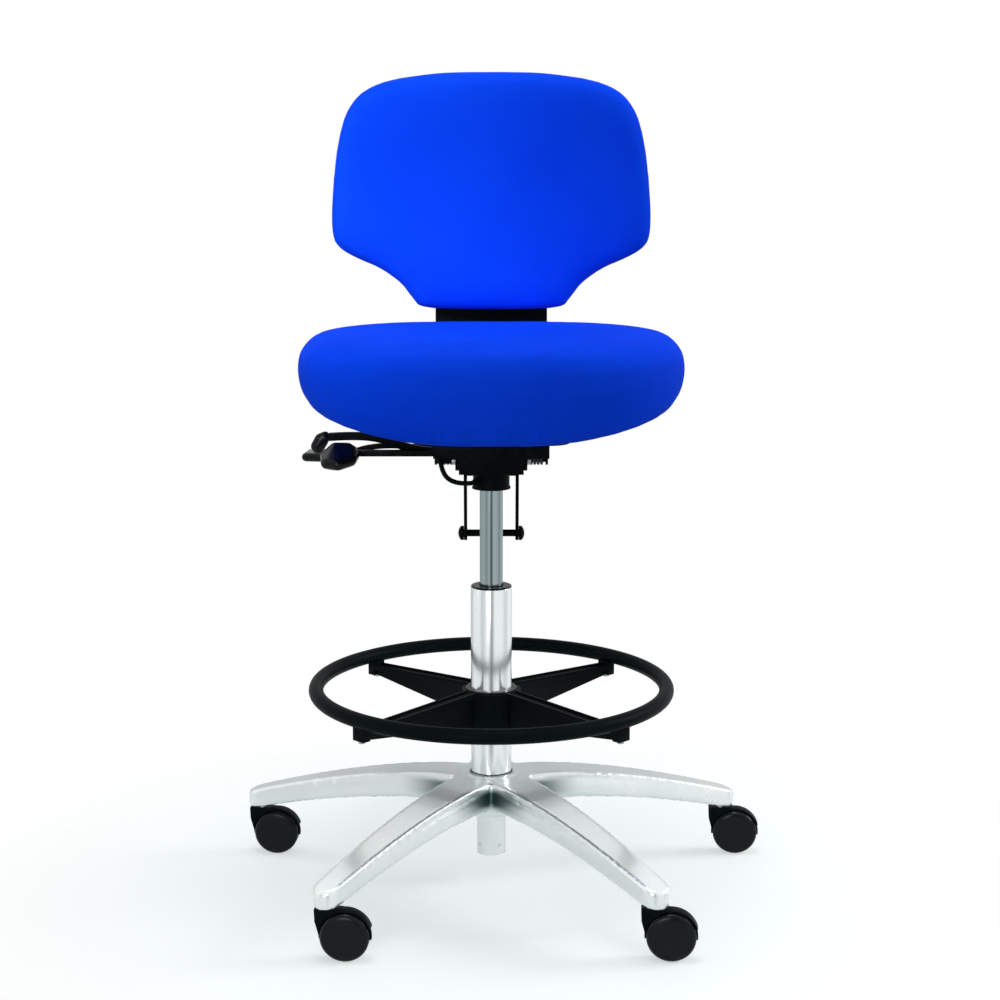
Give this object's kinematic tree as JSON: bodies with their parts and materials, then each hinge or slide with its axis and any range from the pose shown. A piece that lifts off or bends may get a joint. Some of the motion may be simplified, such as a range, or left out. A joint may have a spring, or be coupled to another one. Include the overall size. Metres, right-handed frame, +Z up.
{
  "type": "office_chair",
  "caption": "Tall blue task chair with a foot ring, paddle levers under a tilting seat and a reclining, height-adjustable back on a five-leg base with twin-wheel casters",
  "frame": {"origin": "on the floor, under the middle of the column", "axes": "+Z up, -Y the way a sitter faces, +X the sitter's left, which is the right of the picture"},
  "size_m": [0.6552, 0.6263, 0.9898],
  "materials": {
    "cast": "satin light silver coating on a casting",
    "chrome": "bright plated tube",
    "tube_steel": "ground grey steel tube",
    "steel": "plain machined steel",
    "spring_steel": "dark oiled spring wire",
    "black_metal": "semi-gloss black coating",
    "black_plastic": "fine-grained black moulding",
    "grip_plastic": "smooth black moulding with soft gloss",
    "cable_rubber": "black sleeve",
    "tread": "hard black moulding, bevel polished by use",
    "board": "bare pressed plywood",
    "seat_fabric": "woven blue upholstery cloth over foam"
  },
  "bodies": {
    "base": {"base_star": "cast", "stand_tube": "chrome", "guide_bush": "black_plastic", "thrust_bearing": "steel", "caster_stems": "steel"},
    "caster_rear": {"caster_hood_rear": "black_plastic", "caster_axle_rear": "steel"},
    "caster_left": {"caster_hood_left": "black_plastic", "caster_axle_left": "steel"},
    "caster_front_left": {"caster_hood_front_left": "black_plastic", "caster_axle_front_left": "steel"},
    "caster_front_right": {"caster_hood_front_right": "black_plastic", "caster_axle_front_right": "steel"},
    "caster_right": {"caster_hood_right": "black_plastic", "caster_axle_right": "steel"},
    "near_wheel_rear": {"wheel_near_rear": "tread"},
    "far_wheel_rear": {"wheel_far_rear": "tread"},
    "near_wheel_left": {"wheel_near_left": "tread"},
    "far_wheel_left": {"wheel_far_left": "tread"},
    "near_wheel_front_left": {"wheel_near_front_left": "tread"},
    "far_wheel_front_left": {"wheel_far_front_left": "tread"},
    "near_wheel_front_right": {"wheel_near_front_right": "tread"},
    "far_wheel_front_right": {"wheel_far_front_right": "tread"},
    "near_wheel_right": {"wheel_near_right": "tread"},
    "far_wheel_right": {"wheel_far_right": "tread"},
    "rod": {"piston_rod": "steel", "rod_clip": "steel"},
    "lift": {"gas_cylinder": "tube_steel", "control_housing": "black_metal", "tilt_shaft": "steel", "lever_bracket": "black_metal", "lever_pivot_pin": "steel", "control_cable": "cable_rubber"},
    "release": {"release_pin": "steel"},
    "height_handle": {"height_lever": "black_metal", "height_paddle": "grip_plastic"},
    "seat_handle": {"seat_lever": "black_metal", "seat_paddle": "grip_plastic"},
    "back_handle": {"back_lever": "black_metal", "back_paddle": "grip_plastic"},
    "seat": {"seat_plate": "black_metal", "seat_board": "board", "seat_cushion": "seat_fabric", "seat_screws": "steel", "main_shaft": "black_metal", "torsion_springs": "spring_steel"},
    "carrier": {"carrier_arms": "black_metal", "carrier_bolts": "steel", "cross_bolt": "black_metal", "back_upright": "black_metal"},
    "back": {"back_slider": "black_plastic", "back_shell": "black_plastic", "back_cushion": "seat_fabric", "back_screws": "steel"},
    "back_catch": {"back_height_lever": "black_plastic"},
    "foot_ring": {"ring_hoop": "black_metal", "ring_spider": "black_plastic", "ring_bush": "black_plastic", "ring_screws": "steel"},
    "ring_clamp": {"clamp_knob": "black_plastic"}
  },
  "joints": [
    {"name": "caster_rear_swivel", "type": "hinge", "parent": "base", "child": "caster_rear", "pos_m": [0, 0.31, 0.055], "axis": [0, 0, 1], "continuous": true},
    {"name": "caster_left_swivel", "type": "hinge", "parent": "base", "child": "caster_left", "pos_m": [-0.29483, 0.0958, 0.055], "axis": [0, 0, 1], "continuous": true},
    {"name": "caster_front_left_swivel", "type": "hinge", "parent": "base", "child": "caster_front_left", "pos_m": [-0.18221, -0.25079, 0.055], "axis": [0, 0, 1], "continuous": true},
    {"name": "caster_front_right_swivel", "type": "hinge", "parent": "base", "child": "caster_front_right", "pos_m": [0.18221, -0.25079, 0.055], "axis": [0, 0, 1], "continuous": true},
    {"name": "caster_right_swivel", "type": "hinge", "parent": "base", "child": "caster_right", "pos_m": [0.29483, 0.0958, 0.055], "axis": [0, 0, 1], "continuous": true},
    {"name": "near_wheel_rear_spin", "type": "hinge", "parent": "caster_rear", "child": "near_wheel_rear", "pos_m": [0.00166, 0.32893, 0.028], "axis": [-0.9962, 0.0872, 0], "continuous": true},
    {"name": "far_wheel_rear_spin", "type": "hinge", "parent": "caster_rear", "child": "far_wheel_rear", "pos_m": [0.00166, 0.32893, 0.028], "axis": [-0.9962, 0.0872, 0], "continuous": true},
    {"name": "near_wheel_left_spin", "type": "hinge", "parent": "caster_left", "child": "near_wheel_left", "pos_m": [-0.2759, 0.09414, 0.028], "axis": [0.0872, 0.9962, 0], "continuous": true},
    {"name": "far_wheel_left_spin", "type": "hinge", "parent": "caster_left", "child": "far_wheel_left", "pos_m": [-0.2759, 0.09414, 0.028], "axis": [0.0872, 0.9962, 0], "continuous": true},
    {"name": "near_wheel_front_left_spin", "type": "hinge", "parent": "caster_front_left", "child": "near_wheel_front_left", "pos_m": [-0.16329, -0.25245, 0.028], "axis": [0.0872, 0.9962, 0], "continuous": true},
    {"name": "far_wheel_front_left_spin", "type": "hinge", "parent": "caster_front_left", "child": "far_wheel_front_left", "pos_m": [-0.16329, -0.25245, 0.028], "axis": [0.0872, 0.9962, 0], "continuous": true},
    {"name": "near_wheel_front_right_spin", "type": "hinge", "parent": "caster_front_right", "child": "near_wheel_front_right", "pos_m": [0.20114, -0.25245, 0.028], "axis": [0.0872, 0.9962, 0], "continuous": true},
    {"name": "far_wheel_front_right_spin", "type": "hinge", "parent": "caster_front_right", "child": "far_wheel_front_right", "pos_m": [0.20114, -0.25245, 0.028], "axis": [0.0872, 0.9962, 0], "continuous": true},
    {"name": "near_wheel_right_spin", "type": "hinge", "parent": "caster_right", "child": "near_wheel_right", "pos_m": [0.31376, 0.09414, 0.028], "axis": [0.0872, 0.9962, 0], "continuous": true},
    {"name": "far_wheel_right_spin", "type": "hinge", "parent": "caster_right", "child": "far_wheel_right", "pos_m": [0.31376, 0.09414, 0.028], "axis": [0.0872, 0.9962, 0], "continuous": true},
    {"name": "column_swivel", "type": "hinge", "parent": "base", "child": "rod", "pos_m": [0, 0, 0.048], "axis": [0, 0, 1], "continuous": true},
    {"name": "column_lift", "type": "slide", "parent": "rod", "child": "lift", "axis": [0, 0, 1], "range_m": [-0.105, 0.135]},
    {"name": "height_lever_pull", "type": "hinge", "parent": "lift", "child": "height_handle", "pos_m": [-0.056, 0, 0.5345], "axis": [0, 1, 0], "range_deg": [0, 5], "stiffness_Nm_per_rad": 4, "springref_deg": -5.73},
    {"name": "release_press", "type": "slide", "parent": "lift", "child": "release", "axis": [0, 0, -1], "range_m": [0, 0.005]},
    {"name": "seat_lever_pull", "type": "hinge", "parent": "lift", "child": "seat_handle", "pos_m": [-0.056, 0.0145, 0.5345], "axis": [0, 1, 0], "range_deg": [0, 8]},
    {"name": "back_lever_pull", "type": "hinge", "parent": "lift", "child": "back_handle", "pos_m": [-0.056, 0.028, 0.5345], "axis": [0, 1, 0], "range_deg": [0, 8]},
    {"name": "seat_tilt", "type": "hinge", "parent": "lift", "child": "seat", "pos_m": [0, -0.042, 0.532], "axis": [1, 0, 0], "range_deg": [-3, 8]},
    {"name": "back_recline", "type": "hinge", "parent": "seat", "child": "carrier", "pos_m": [0, 0.056, 0.521], "axis": [1, 0, 0], "range_deg": [-18, 5]},
    {"name": "back_height", "type": "slide", "parent": "carrier", "child": "back", "axis": [0, 0, 1], "range_m": [-0.008, 0.06]},
    {"name": "back_catch_turn", "type": "hinge", "parent": "back", "child": "back_catch", "pos_m": [-0.092, 0.245, 0.787], "axis": [0, 1, 0], "range_deg": [0, 12], "stiffness_Nm_per_rad": 2, "springref_deg": -5.73},
    {"name": "ring_height", "type": "slide", "parent": "base", "child": "foot_ring", "axis": [0, 0, 1], "range_m": [-0.04, 0.1]},
    {"name": "ring_clamp_turn", "type": "hinge", "parent": "foot_ring", "child": "ring_clamp", "pos_m": [-0.00521, 0.02954, 0.2195], "axis": [-0.1736, 0.9848, 0], "range_deg": [0, 360]}
  ],
  "couplings": [
    {"joint": "release_press", "follows": "height_lever_pull", "m_per_rad": 0.056}
  ]
}
